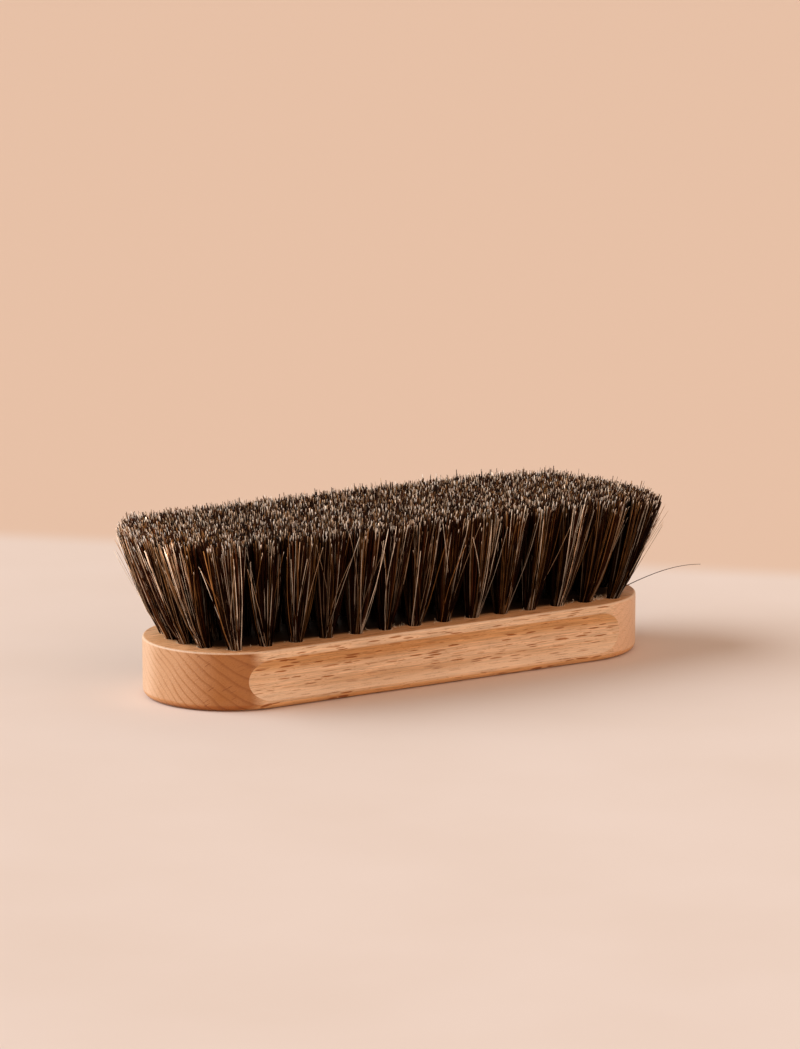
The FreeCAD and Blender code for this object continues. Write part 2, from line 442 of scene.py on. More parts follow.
        # Painted shade on faces that turn downward.
        under = graph.band(graph.product(upward, -1.0), self.under_shade_rise, self.under_shade_fall)
        colour = graph.mix(under, colour, self.painted_under_shade, blend="MULTIPLY")
        # Painted light on the strip above the groove.
        upper = graph.product(graph.step(at.place[2], *self.ledge_light_edge), graph.rest(at.end),
                              graph.step(upward, *self.ledge_light_turn), self.ledge_light_cover)
        return graph.mix(upper, colour, self.painted_ledge_light)

    def _rings(self, at: WoodPoint) -> Socket:
        """Masks the dark latewood of each growth ring.

        Args:
            at: the point.

        Returns:
            The mask.
        """
        graph = at.graph
        across, outward = at.grain[1:]
        slow = graph.noise(graph.stretched(at.grain, self.slow_cell))
        warp = graph.product(graph.math("SUBTRACT", slow, 0.5), 2 * self.ring_warp)
        bow = graph.product(across, across, self.ring_bow)
        uneven = graph.noise(graph.stretched((0.0, across, outward), self.uneven_cell))
        radius = graph.total(outward, warp, graph.total(bow, graph.product(uneven, self.uneven_by)))
        ring = graph.math("FRACT", graph.math("DIVIDE", radius, self.ring_width))
        return graph.product(graph.band(ring, self.late_rise, self.late_fall),
                             graph.span(at.end, self.late_side, 1.0),
                             graph.span(at.against, self.late_against, 1.0),
                             graph.span(graph.step(slow, *self.late_patch), self.late_faint, 1.0))

    def _rays(self, at: WoodPoint) -> tuple[Socket, Socket]:
        """Masks the flecks of the rays.

        Args:
            at: the point.

        Returns:
            The mask, and how dark each fleck is.
        """
        graph = at.graph
        along, across, outward = at.grain
        waver = graph.noise(graph.stretched((along, across, 0.0), self.waver_cell))
        bent = graph.total(across, graph.product(waver, self.waver_by))
        rays = graph.cells(graph.stretched((along, bent, outward), self.ray_cell))
        size, dark, _ = graph.node("ShaderNodeSeparateColor", {0: rays["Color"]}).outputs
        reach = graph.product(graph.span(size, *self.ray_size), graph.span(at.end, 1.0, self.ray_size_end))
        ray = graph.rest(graph.step(rays["Distance"], graph.product(reach, self.ray_core), reach))
        aslant = graph.product(at.end, graph.rest(at.against))
        depth = graph.product(graph.span(graph.step(dark, *self.ray_pick), self.ray_faint, 1.0),
                              graph.span(graph.step(at.endward, *self.ray_turn), 1.0, self.ray_square),
                              graph.span(aslant, 1.0, self.ray_against))
        return ray, depth

    def _highlight_mask(self, at: WoodPoint) -> Socket:
        """Masks painted highlights: a paler band on faces that turn partly upward, such as the rounded top
        edges and the lower half of the groove, and painted glints as pale specks on the left end, which faces
        the light.

        Args:
            at: the point.

        Returns:
            The mask.
        """
        graph = at.graph
        specks = graph.noise(graph.stretched(at.place, self.speck_cell))
        speck = graph.product(graph.step(specks, *self.speck_span),
                              graph.step(at.turn[0], *self.speck_turn), self.speck_cover)
        edge = graph.band(at.turn[2], self.highlight_rise, self.highlight_fall)
        return graph.math("MAXIMUM", speck, graph.product(edge, graph.span(specks, *self.highlight_cover)))


@dataclass(frozen=True)
class Finish:
    """Base of the finishes: one material with one Principled shader."""

    name: str
    gloss: EffectGroup

    def start(self) -> tuple[Material, Graph, Sockets]:
        """Makes an empty material.

        Returns:
            The material, its graph and the inputs of its Principled node.
        """
        material = bpy.data.materials.new(self.name)
        material.use_nodes = True
        return material, Graph(material.node_tree), material.node_tree.nodes["Principled BSDF"].inputs

    def mottle(self, graph: Graph, grain: float, span: Span) -> Socket:
        """Soft noise over a span of values, with a grain in millimetres."""
        feeds = {"Vector": graph.coords["Object"], "Grain": grain, "Low": span[0], "High": span[1]}
        return self.gloss.place(graph, **feeds)["Value"]


@dataclass(frozen=True)
class BeechFinish(Finish):
    """Oiled beech of the block, or fresh pale beech of its burrs."""

    figure: EffectGroup
    straight: float
    fresh: float = 0.0
    fresh_colour: Colour = (0.8, 0.67, 0.52)
    # Painted shade: a near-black colour on the hair face between the tufts, where the hair keeps the light
    # out.
    painted_field_shade: Colour = (0.05, 0.024, 0.011)
    painted_field_shade_edge: Span = (17.5 * MM, 21.0 * MM)
    painted_field_shade_turn: Span = (0.8, 0.95)
    relief: float = 0.06 * MM
    rough: Span = (0.4, 0.54)
    rough_grain: float = 4.0
    specular: float = 0.38

    def build(self) -> Material:
        """Builds the material.

        Returns:
            The material.
        """
        material, graph, shader = self.start()
        wood = self.figure.place(graph, Vector=graph.coords["Object"], Normal=graph.coords["Normal"])
        if self.fresh:
            colour = graph.mix(self.fresh, wood["Color"], self.fresh_colour)
        else:
            # Painted shade on the hair face between the tufts.
            colour = graph.mix(self._painted_field_shade_mask(graph), wood["Color"], self.painted_field_shade)
        feeds = {"Strength": 1.0, "Distance": self.relief, "Height": wood["Height"]}
        bump = graph.node("ShaderNodeBump", feeds)
        graph.feed(shader["Base Color"], colour)
        graph.feed(shader["Roughness"], self.mottle(graph, self.rough_grain, self.rough))
        graph.feed(shader["Normal"], bump.outputs[0])
        shader["Specular IOR Level"].default_value = self.specular
        return material

    def _painted_field_shade_mask(self, graph: Graph) -> Socket:
        """Masks the hair face inside the field of tufts, which is darkened with painted shade where the dense
        hair keeps the light out.

        Args:
            graph: the material's graph.

        Returns:
            The mask.
        """
        x, y, _ = graph.split(graph.coords["Object"])
        upward = graph.split(graph.coords["Normal"])[2]
        past = graph.math("MAXIMUM", graph.math("SUBTRACT", graph.math("ABSOLUTE", x), self.straight), 0.0)
        reach = graph.math("SQRT", graph.total(graph.product(past, past), graph.product(y, y)))
        within = graph.rest(graph.step(reach, *self.painted_field_shade_edge))
        return graph.product(within, graph.step(upward, *self.painted_field_shade_turn))


@dataclass(frozen=True)
class HairFinish(Finish):
    """Natural hair: every hair has its own tint, darker at the root, and its own pale tip, partly a pale cut
    end and partly a painted highlight; painted shade darkens hidden hairs below their tips.

    Spans along a hair go from 0 at the root to 1 at the tip.
    """

    root_span: Span = (0.25, 1.0)
    root_shade: Span = (0.6, 1.15)
    patch_grain: float = 4.0
    patch_shade: Span = (0.6, 1.4)
    # Painted shade: hairs that others hide are darkened below their tips, most just under the tips and less
    # towards the root.
    deep_span: Span = (0.962, 0.988)
    deep_shade: float = 0.08
    shut_span: Span = (0.55, 0.88)
    shut_low: float = 0.7
    # Pale tips: partly the paler cut ends, partly a painted highlight where light catches the tips.
    tip_span: Span = (0.962, 1.0)
    tip_strength: Span = (0.7, 1.5)
    tip_gold: Colour = (0.88, 0.6, 0.4)
    tip_colour: Colour = (0.98, 0.84, 0.73)
    rough: Span = (0.34, 0.52)
    rough_grain: float = 0.8
    specular: float = 0.035
    sheen_tint: Colour = (1.0, 0.7, 0.48)

    def build(self) -> Material:
        """Builds the material.

        Returns:
            The material.
        """
        material, graph, shader = self.start()
        tint, along, deep = (graph.node("ShaderNodeAttribute", attribute_name=name).outputs
                             for name in (TINT, ALONG, DEEP))
        # Painted shade on hidden hairs below their tips.
        below = graph.rest(graph.step(along["Fac"], *self.deep_span))
        darkest = 1.0 - self.deep_shade
        shut = graph.span(graph.step(along["Fac"], *self.shut_span), self.shut_low * darkest, darkest)
        shade = graph.product(graph.span(graph.step(along["Fac"], *self.root_span), *self.root_shade),
                              self.mottle(graph, self.patch_grain, self.patch_shade),
                              graph.rest(graph.product(below, deep["Fac"], shut)))
        colour = graph.shaded(tint["Color"], shade)
        # Pale tip colour, partly the cut end and partly a painted highlight.
        pale = graph.mix(graph.step(tint["Alpha"], *self.tip_strength), self.tip_gold, self.tip_colour)
        cut = graph.product(graph.step(along["Fac"], *self.tip_span), tint["Alpha"])
        graph.feed(shader["Base Color"], graph.mix(cut, colour, pale))
        graph.feed(shader["Roughness"], self.mottle(graph, self.rough_grain, self.rough))
        graph.feed(shader["Specular Tint"], self.sheen_tint)
        shader["Specular IOR Level"].default_value = self.specular
        return material


@dataclass(frozen=True)
class WireFinish(Finish):
    """Drawn flat wire of the anchors."""

    colour: Colour = (0.6, 0.58, 0.54)
    dull: Colour = (0.4, 0.37, 0.33)
    dull_grain: float = 1.5
    rough: Span = (0.25, 0.5)
    rough_grain: float = 0.4

    def build(self) -> Material:
        """Builds the material.

        Returns:
            The material.
        """
        material, graph, shader = self.start()
        stain = self.mottle(graph, self.dull_grain, (0.0, 1.0))
        graph.feed(shader["Base Color"], graph.mix(stain, self.colour, self.dull))
        graph.feed(shader["Roughness"], self.mottle(graph, self.rough_grain, self.rough))
        shader["Metallic"].default_value = 1.0
        return material


@dataclass(frozen=True)
class FloorFinish(Finish):
    """Pale floor, with a slightly deeper tone far behind the brush."""

    colour: Colour = (0.765, 0.642, 0.575)
    second: Colour = (0.735, 0.608, 0.533)
    second_grain: float = 90.0
    far: Colour = (0.708, 0.512, 0.393)
    far_turn: Span = (0.726, 0.688)
    far_edge: Span = (0.166, 0.198)
    rough: float = 0.8
    specular: float = 0.2

    def build(self) -> Material:
        """Builds the material.

        Returns:
            The material.
        """
        material, graph, shader = self.start()
        near = graph.mix(self.mottle(graph, self.second_grain, (0.0, 1.0)), self.colour, self.second)
        place = graph.split(graph.coords["Object"])
        away = graph.total(*(graph.product(axis, share) for axis, share in zip(place, self.far_turn)))
        graph.feed(shader["Base Color"], graph.mix(graph.step(away, *self.far_edge), near, self.far))
        shader["Roughness"].default_value = self.rough
        shader["Specular IOR Level"].default_value = self.specular
        return material


@dataclass
class Strands:
    """Many thin strands with the same stations, in metres.

    The fourth channel of a tint is the strand's pale tip, and deep is 1 where others hide it below its tip,
    where the hair finish paints shade.
    """

    points: Array
    radii: Array
    tints: Array
    deep: Array
    along: Array

    @staticmethod
    def plain(points: Array, radii: Array, along: Array) -> "Strands":
        """Strands that have no tints of their own."""
        count = len(points)
        return Strands(points, radii, np.ones((count, 4)), np.zeros(count), along)

    @staticmethod
    def joined(bundles: list["Strands"]) -> "Strands":
        """Joins several bundles that share their stations."""
        columns = zip(*((bundle.points, bundle.radii, bundle.tints, bundle.deep) for bundle in bundles))
        return Strands(*(np.concatenate(column) for column in columns), bundles[0].along)


@dataclass(frozen=True)
class StrandMesher:
    """Turns strands into closed three-sided tubes, each with its own field of the bake map."""

    sides: int = 3
    steep: float = 0.9
    strand_turn: float = 2.4
    margin: float = 0.12
    bake_map: str = "OFBake"

    def build(self, name: str, strands: Strands, material: Material, slot: Slot) -> bpy.types.Object:
        """Makes one piece of many strands, which rides on the brush.

        Args:
            name: name of the piece.
            strands: the strands' centre lines, radii and tints.
            material: finish of the piece.
            slot: slot of the finish; not used.

        Returns:
            The piece.
        """
        count, stations, _ = strands.points.shape
        ring = stations * self.sides
        numbers, sizes, fields = self._pattern(strands.along)
        loops = np.array(numbers)[None, :] + ring * np.arange(count)[:, None]
        totals = np.tile(sizes, count)
        starts = np.concatenate([[0], np.cumsum(totals)[:-1]])
        mesh = bpy.data.meshes.new(name)
        mesh.vertices.add(count * ring)
        mesh.vertices.foreach_set("co", self._corners(strands).astype(np.float32).ravel())
        mesh.loops.add(loops.size)
        mesh.loops.foreach_set("vertex_index", loops.astype(np.int32).ravel())
        mesh.polygons.add(len(totals))
        mesh.polygons.foreach_set("loop_start", starts.astype(np.int32))
        mesh.polygons.foreach_set("use_smooth", np.ones(len(totals), bool))
        mesh.update(calc_edges=True)
        grid = math.ceil(math.sqrt(count))
        corner = np.stack([np.arange(count) % grid, np.arange(count) // grid], axis=1)
        inside = self.margin + (1 - 2 * self.margin) * np.array(fields)
        places = (corner[:, None, :] + inside[None, :, :]) / grid
        mesh.uv_layers.new(name=self.bake_map).data.foreach_set("uv", places.astype(np.float32).ravel())
        tint = mesh.color_attributes.new(TINT, "FLOAT_COLOR", "POINT")
        tint.data.foreach_set("color", np.repeat(strands.tints.astype(np.float32), ring, axis=0).ravel())
        along = np.tile(np.repeat(strands.along, self.sides), count)
        for label, values in ((DEEP, np.repeat(strands.deep, ring)), (ALONG, along)):
            layer = mesh.attributes.new(label, "FLOAT", "POINT")
            layer.data.foreach_set("value", values.astype(np.float32))
        mesh.materials.append(material)
        piece = put(name, mesh)
        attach(piece, BODY)
        LOG.info("%s: %d strands", name, count)
        return piece

    def _corners(self, strands: Strands) -> Array:
        """Works out the corner points of all rings.

        Args:
            strands: the strands.

        Returns:
            The points, strand by strand.
        """
        path = np.gradient(strands.points, axis=1)
        path /= np.linalg.norm(path, axis=2, keepdims=True)
        lean = np.where(np.abs(path[:, :1, 2:]) > self.steep, [[[1.0, 0.0, 0.0]]], [[UP]])
        first = np.cross(path, np.broadcast_to(lean, path.shape))
        first /= np.linalg.norm(first, axis=2, keepdims=True)
        second = np.cross(path, first)
        turns = 2 * math.pi * np.arange(self.sides) / self.sides
        turns = turns[None, :] + self.strand_turn * np.arange(len(path))[:, None]
        ring = (np.cos(turns)[:, None, :, None] * first[:, :, None, :]
                + np.sin(turns)[:, None, :, None] * second[:, :, None, :])
        corners = strands.points[:, :, None, :] + ring * strands.radii[:, :, None, None]
        return corners.reshape(-1, 3)

    def _pattern(self, along: Array) -> tuple[list[int], list[int], list[Span]]:
        """Works out the faces of one strand.

        Args:
            along: places of its rings, from 0 to 1.

        Returns:
            The corner numbers of the faces, the faces' sizes, and the corners' places in the map.
        """
        sides, last = self.sides, len(along) - 1
        faces = [[(station, side), (station, side + 1), (station + 1, side + 1), (station + 1, side)]
                 for station in range(last) for side in range(sides)]
        faces.append([(0, side) for side in range(sides - 1, -1, -1)])
        faces.append([(last, side) for side in range(sides)])
        corners = [corner for face in faces for corner in face]
        numbers = [station * sides + side % sides for station, side in corners]
        fields = [(side / sides, along[station]) for station, side in corners]
        return numbers, [len(face) for face in faces], fields


@dataclass(frozen=True)
class TuftSolid:
    """Place of one tuft, read from its CAD solid, in metres."""

    foot: Array
    crown: Array
    floor: float
    foot_radius: float
    crown_radius: float

    @staticmethod
    def read(node: bpy.types.Object, face: float) -> list["TuftSolid"]:
        """Reads every tuft of a CAD node.

        Args:
            node: the CAD node's object.
            face: height of the block's hair face.

        Returns:
            The tufts, from left to right.
        """
        solid = bmesh.new()
        solid.from_mesh(node.data)
        bmesh.ops.remove_doubles(solid, verts=solid.verts, dist=1e-6)
        waiting = set(solid.verts)
        tufts = []
        while waiting:
            island = {waiting.pop()}
            border = list(island)
            while border:
                near = {edge.other_vert(vert) for vert in border for edge in vert.link_edges} - island
                island |= near
                border = list(near)
            waiting -= island
            tufts.append(TuftSolid.measure(np.array([vert.co[:] for vert in island]), face))
        solid.free()
        return sorted(tufts, key=lambda tuft: tuft.foot[0])

    @staticmethod
    def measure(corners: Array, face: float) -> "TuftSolid":
        """Measures one tuft.

        Args:
            corners: its corner points.
            face: height of the block's hair face.

        Returns:
            The tuft.
        """
        heights = corners[:, 2]
        near = 1e-5
        mouth = corners[np.abs(heights - face) < near]
        tips = corners[heights > heights.max() - near]
        middle = [(ring.min(axis=0) + ring.max(axis=0)) / 2 for ring in (mouth, tips)]
        reach = [(ring[:, 0].max() - ring[:, 0].min()) / 2 for ring in (mouth, tips)]
        return TuftSolid(*middle, float(heights.min()), *reach)


@dataclass(frozen=True)
class TrimLine:
    """Outline and level of the trimmed tips, read from the crowns of all tufts, in metres."""

    normals: Array
    reaches: Array
    top: float
    drop: float
    end: float
    past_end: float = 1.1
    drop_power: int = 5

    @staticmethod
    def read(tufts: list[TuftSolid], spare: float) -> "TrimLine":
        """Reads the trim from the tufts.

        Args:
            tufts: all tufts of the brush.
            spare: reach of the loose hair beyond the solid tufts.

        Returns:
            The trim.
        """
        rim_points = 16
        turns = np.linspace(0, 2 * math.pi, rim_points, endpoint=False)
        ring = np.column_stack([np.cos(turns), np.sin(turns)])
        rims = np.concatenate([tuft.crown[:2] + (tuft.crown_radius + spare) * ring for tuft in tufts])
        hull = rims[convex_hull_2d([tuple(point) for point in rims])]
        edges = np.roll(hull, -1, axis=0) - hull
        normals = np.column_stack([edges[:, 1], -edges[:, 0]])
        normals /= np.linalg.norm(normals, axis=1, keepdims=True)
        reaches = np.sum(normals * hull, axis=1)
        sides = np.sign(reaches)
        crowns = np.array([tuft.crown for tuft in tufts])
        top = crowns[:, 2].max()
        drop = top - crowns[:, 2].min()
        return TrimLine(normals * sides[:, None], reaches * sides, top, drop, crowns[:, 0].max())

    def fold_in(self, tips: Array, rng: Rng, scatter: float) -> Array:
        """Draws tips that stand outside the outline back to it.

        Args:
            tips: places of the tips.
            rng: the piece's random numbers.
            scatter: how unevenly the tips come to lie inside.

        Returns:
            The new places.
        """
        over = tips @ self.normals.T - self.reaches
        worst = over.argmax(axis=1)
        beyond = over[np.arange(len(tips)), worst]
        pull = np.where(beyond > 0, beyond + np.abs(rng.normal(0, scatter, len(tips))), 0)
        return tips - pull[:, None] * self.normals[worst]

    def inside(self, tips: Array) -> Array:
        """Distance of the tips from the outline."""
        return (self.reaches - tips @ self.normals.T).min(axis=1)

    def endward(self, tips: Array) -> Array:
        """Share of the way to the right end at the tips."""
        return np.clip(tips[:, 0] / self.end, 0, self.past_end)

    def level(self, tips: Array) -> Array:
        """Height of the trim at the tips."""
        return self.top - self.drop * self.endward(tips) ** self.drop_power


@dataclass
class HairField:
    """All tufts of the brush as loose hair, one piece for each CAD node, in metres.

    A lock is a few neighbouring hairs that hold together, and a flyaway stands out from a tuft of the rim.
    """

    face: float
    finish: Material
    trim: TrimLine
    mesher: StrandMesher = StrandMesher()
    rim_stations: Stations = (0.22, 0.46, 0.68, 0.86, 1.0)
    inner_stations: Stations = (0.6, 1.0)
    rng: Rng = field(init=False)
    stations: Stations = field(init=False)
    root_share: float = 0.2
    root_gap: float = 0.3 * MM

    hairs: int = 430
    fine_radius: Span = (0.06 * MM, 0.11 * MM)
    coarse_radius: Span = (0.13 * MM, 0.21 * MM)
    coarse_share: float = 0.55
    tip_taper: float = 0.25
    root_scatter: float = 0.03
    tip_reach: Span = (6.8 * MM, 6.0 * MM)
    tip_scatter: float = 0.9 * MM
    right_flare: float = 2.0 * MM
    left_flare: float = 1.2 * MM
    flare_power: int = 3
    shell: Span = (1.6 * MM, 4.4 * MM)
    bend: float = 0.33 * MM
    curl: float = 0.82
    kink: float = 0.14 * MM
    kink_wave: float = 7.0

    locks: int = 135
    lock_pull: Span = (0.1, 0.55)
    lock_scatter: float = 0.32 * MM
    lock_tint: float = 0.4

    trim_mean: float = -0.8 * MM
    trim_scatter: float = 0.6 * MM
    shoulder: float = 0.7 * MM
    short_share: float = 0.12
    short_rim: float = 0.22
    short_by: Span = (0.5 * MM, 3.6 * MM)
    long_share: float = 0.03
    long_by: Span = (0.3 * MM, 2.1 * MM)

    tint_spread: float = 0.35
    # Painted light on the hair of the left end.
    left_painted_light: float = 0.7
    left_light_start: float = 0.8
    # Pale tips: partly the paler cut ends, partly a painted highlight where light catches the tips.
    pale_tips: float = 0.13
    pale_rim: float = 0.06
    # Painted light: extra pale tips at the back rim stand in for light shining through back-lit hair.
    painted_backlit_tips: float = 0.38
    pale_lone: float = 0.5
    pale_strength: Span = (0.4, 1.7)
    plain_strength: float = 0.004

    flyaways: int = 6
    flyaway_shades: tuple[HairShade, ...] = (HairShade.GOLDEN, HairShade.BEIGE, HairShade.PALE)
    flyaway_spread: float = 0.3
    flyaway_radius: Span = (0.075 * MM, 0.13 * MM)
    flyaway_fan: Span = (-1.1, 1.1)
    flyaway_reach: Span = (-1.5 * MM, 2.4 * MM)
    flyaway_swing: float = 5.0 * MM
    flyaway_limit: float = 7.5 * MM
    flyaway_fall: Span = (0.5 * MM, 10.0 * MM)
    flyaway_bow: Span = (0.4 * MM, 1.4 * MM)
    flyaway_sway: float = 0.8 * MM
    flyaway_curl: float = 1.2

    def build(self, tufts: dict[str, list[TuftSolid]]) -> None:
        """Builds the hair of every tuft node.

        Args:
            tufts: node name to the tufts of the node.
        """
        for name, solids in tufts.items():
            rim = name.startswith("tuft_")
            self.rng = np.random.default_rng(zlib.crc32(name.encode()))
            self.stations = self.rim_stations if rim else self.inner_stations
            bundles = []
            for solid in solids:
                bundles.append(self.grow(solid))
                if rim:
                    bundles.append(self.stray(solid))
            piece = self.mesher.build("hair_" + name, Strands.joined(bundles), self.finish, Slot.HAIR)
            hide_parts(name)

    @property
    def _along(self) -> Array:
        """Places of the stations, from 0 at the root to 1 at the tip."""
        free = [self.root_share + (1 - self.root_share) * share for share in self.stations]
        return np.array([0.0, self.root_share, *free])

    def _tapered(self, thick: Array) -> Array:
        """Radii of hairs along their length, a little thinner towards the tip."""
        return thick[:, None] * (1 - self.tip_taper * self._along ** 2)

    def grow(self, tuft: TuftSolid) -> Strands:
        """Grows the hairs of one tuft.

        Args:
            tuft: the tuft's place.

        Returns:
            The hairs as strands.
        """
        count, rng = self.hairs, self.rng
        spread = np.sqrt((np.arange(count) + 0.5) / count)
        angle = GOLDEN_ANGLE * np.arange(count) + rng.uniform(0, 2 * math.pi)
        disc = np.stack([spread * np.cos(angle), spread * np.sin(angle)], axis=1)
        disc += rng.normal(0, self.root_scatter, disc.shape)
        root = tuft.foot[:2] + disc * (tuft.foot_radius - self.coarse_radius[1])
        tip = tuft.crown[:2] + disc * np.array(self.tip_reach) + rng.normal(0, self.tip_scatter, disc.shape)
        tip, lock = self._gather(disc, tip)
        tip = self.trim.fold_in(tip, rng, self.tip_scatter)
        # How deep a tip stands inside the outline, which sets its painted shade below the tip.
        low, high = self.shell
        deep = np.clip((self.trim.inside(tip) - low) / (high - low), 0, 1)
        height = self._trim(tip, lock, 1 - deep)
        # Chance of a pale tip, higher at the rim, and highest at the back rim as painted back light.
        pale = self.pale_tips + (1 - deep) * np.where(tip[:, 1] > 0, self.painted_backlit_tips, self.pale_rim)
        tip[:, 0] += self.right_flare * self.trim.endward(tip) ** self.flare_power
        tip[:, 0] -= self.left_flare * self.trim.endward(-tip) ** self.flare_power
        bend = rng.normal(0, self.bend, (self.locks, 2))[lock] + rng.normal(0, self.bend, (count, 2))
        coarse = rng.random(count) < self.coarse_share
        radii = [rng.uniform(*span, count) for span in (self.coarse_radius, self.fine_radius)]
        thick = np.where(coarse, *radii)
        run = self._run(tuft.floor, (root, tip, height, bend), self.curl)
        tints = self._tints(lock, pale)
        # Painted light towards the left end.
        tints[:, :3] *= self._painted_left_light(tip)
        return Strands(run, self._tapered(thick), tints, deep, self._along)

    def stray(self, tuft: TuftSolid) -> Strands:
        """Grows the few paler hairs that stand out from a tuft of the rim and cross its neighbours.

        Args:
            tuft: the tuft's place.

        Returns:
            The hairs as strands.
        """
        count, rng = self.flyaways, self.rng
        outward = (tuft.crown - tuft.foot)[:2]
        outward /= np.linalg.norm(outward)
        aside = np.array([-outward[1], outward[0]])
        angle = rng.uniform(*self.flyaway_fan, (count, 1))
        root = tuft.foot[:2] + tuft.foot_radius * (np.cos(angle) * outward + np.sin(angle) * aside)
        reach = tuft.crown_radius + rng.uniform(*self.flyaway_reach, (count, 1))
        swing = rng.normal(0, self.flyaway_swing, (count, 1))
        swing = np.clip(swing, -self.flyaway_limit, self.flyaway_limit)
        tip = tuft.crown[:2] + reach * outward + swing * aside
        height = self.trim.level(tip) - rng.uniform(*self.flyaway_fall, count)
        tip[:, 0] += self.right_flare * self.trim.endward(tip) ** self.flare_power
        bow = rng.uniform(*self.flyaway_bow, (count, 1)) * outward
        bend = bow + rng.normal(0, self.flyaway_sway, (count, 1)) * aside
        shades = np.array([shade.colour for shade in self.flyaway_shades])
        tints = np.ones((count, 4))
        tints[:, :3] = shades[rng.integers(len(shades), size=count)]
        # Random tone, and painted light towards the left end.
        tints[:, :3] *= rng.lognormal(0, self.flyaway_spread, (count, 1)) * self._painted_left_light(tip)
        thick = rng.uniform(*self.flyaway_radius, count)
        run = self._run(tuft.floor, (root, tip, height, bend), self.flyaway_curl)
        return Strands(run, self._tapered(thick), tints, np.zeros(count), self._along)

    def _run(self, floor: float, line: tuple[Array, Array, Array, Array], curl: float) -> Array:
        """Works out the centre lines of hairs.

        Args:
            floor: height of the floor of their hole.
            line: their roots, tips, heights and bends.
            curl: 1 for hairs that lean evenly, less for ones that lean most at the root.

        Returns:
            The points of each hair.
        """
        root, tip, height, bend = line
        wave = self.rng.uniform(0, 2 * math.pi, (len(root), 1))
        levels = (floor + self.root_gap, self.face)
        points = [np.column_stack([root, np.full(len(root), level)]) for level in levels]
        for share in self.stations:
            sway = bend * math.sin(math.pi * share) + self.kink * np.sin(self.kink_wave * share + wave)
            flat = root + (tip - root) * share ** curl + sway
            points.append(np.column_stack([flat, self.face + (height - self.face) * share]))
        return np.stack(points, axis=1)

    def _gather(self, disc: Array, tip: Array) -> tuple[Array, Array]:
        """Draws the tips of neighbouring hairs together.

        Args:
            disc: places of the hairs in their tuft.
            tip: places of their tips.

        Returns:
            The new tips, and the number of each hair's lock.
        """
        seeds = disc[self.rng.choice(len(disc), self.locks, replace=False)]
        nearest = np.argmin(np.linalg.norm(disc[:, None, :] - seeds[None, :, :], axis=2), axis=1)
        middle = np.array([tip[nearest == lock].mean(axis=0) for lock in range(self.locks)])
        pull = self.rng.uniform(*self.lock_pull, (len(tip), 1))
        return tip + pull * (middle[nearest] - tip), nearest

    def _painted_left_light(self, tip: Array) -> Array:
        """Painted light: the hairs are brightened towards the left end, where the window light falls on them.
        """
        leftward = (-tip[:, :1] / self.trim.end - self.left_light_start) / (1 - self.left_light_start)
        return 1 + self.left_painted_light * np.clip(leftward, 0, 1)

    def _trim(self, tip: Array, lock: Array, rim: Array) -> Array:
        """Trims the tips, a few of them short or standing out, and lower and less even at the rim.

        Args:
            tip: places of the tips.
            lock: number of each hair's lock.
            rim: 1 at the rim of the field, 0 inside it.

        Returns:
            The heights of the tips.
        """
        count, rng = len(tip), self.rng
        height = self.trim.level(tip) + rng.normal(self.trim_mean, self.trim_scatter, count)
        height += rng.normal(0, self.lock_scatter, self.locks)[lock] - self.shoulder * rim ** 2
        short = rng.random(count) < self.short_share + self.short_rim * rim
        height[short] -= rng.uniform(*self.short_by, short.sum())
        tall = rng.random(count) < self.long_share
        height[tall] += rng.uniform(*self.long_by, tall.sum())
        return height

    def _tints(self, lock: Array, pale: Array) -> Array:
        """Picks the colours of the hairs, many of a lock alike, and the strength of their pale tips.

        Args:
            lock: number of each hair's lock.
            pale: chance of a pale tip.

        Returns:
            The tints, with the pale tip as their fourth channel.
        """
        count, rng = len(lock), self.rng
        colours = np.array([shade.colour for shade in HairShade])
        shares = np.array([shade.share for shade in HairShade])
        shares /= shares.sum()
        alike = rng.choice(len(shares), self.locks, p=shares)[lock]
        own = rng.choice(len(shares), count, p=shares)
        pick = np.where(rng.random(count) < self.lock_tint, alike, own)
        tints = np.empty((count, 4))
        tints[:, :3] = colours[pick] * rng.lognormal(0, self.tint_spread, (count, 1))
        lone = rng.random(count) < self.pale_lone
        chance = np.where(lone, rng.random(count), rng.random(self.locks)[lock])
        tints[:, 3] = np.where(chance < pale, rng.uniform(*self.pale_strength, count), self.plain_strength)
        return tints


@dataclass
class StrayHairs:
    """Two single hairs that stand away from the tufts at the right end, one low and one steep."""

    finish: Material
    mesher: StrandMesher = StrandMesher()
    low_reach: Point = (23.0 * MM, -14.6 * MM, 8.6 * MM)
    steep_reach: Point = (7.9 * MM, -5.1 * MM, 21.8 * MM)
    steep_rise: float = 0.95
    root_gap: float = 0.3 * MM
    radii: Span = (0.17 * MM, 0.09 * MM)
    tip_taper: float = 0.5
    stations: int = 14
    tints: tuple[Colour, Colour] = ((0.06, 0.036, 0.02), (0.5, 0.38, 0.25))

    def build(self, end_tuft: TuftSolid) -> None:
        """Builds the stray hairs beside the last tuft.

        Args:
            end_tuft: the tuft that they come from.
        """
        foot = end_tuft.foot + np.array([end_tuft.foot_radius, 0.0, self.root_gap])
        along = np.linspace(0, 1, self.stations)
        low = np.column_stack([along, along, np.sin(along * math.pi / 2)]) * self.low_reach
        steep = np.column_stack([along, along, along ** self.steep_rise]) * self.steep_reach
        points = foot + np.stack([low, steep])
        radii = np.array(self.radii)[:, None] * (1 - self.tip_taper * along)
        tints = np.column_stack([self.tints, np.zeros(len(self.tints))])
        strands = Strands(points, radii, tints, np.zeros(len(points)), along)
        self.mesher.build("stray_hairs", strands, self.finish, Slot.HAIR)


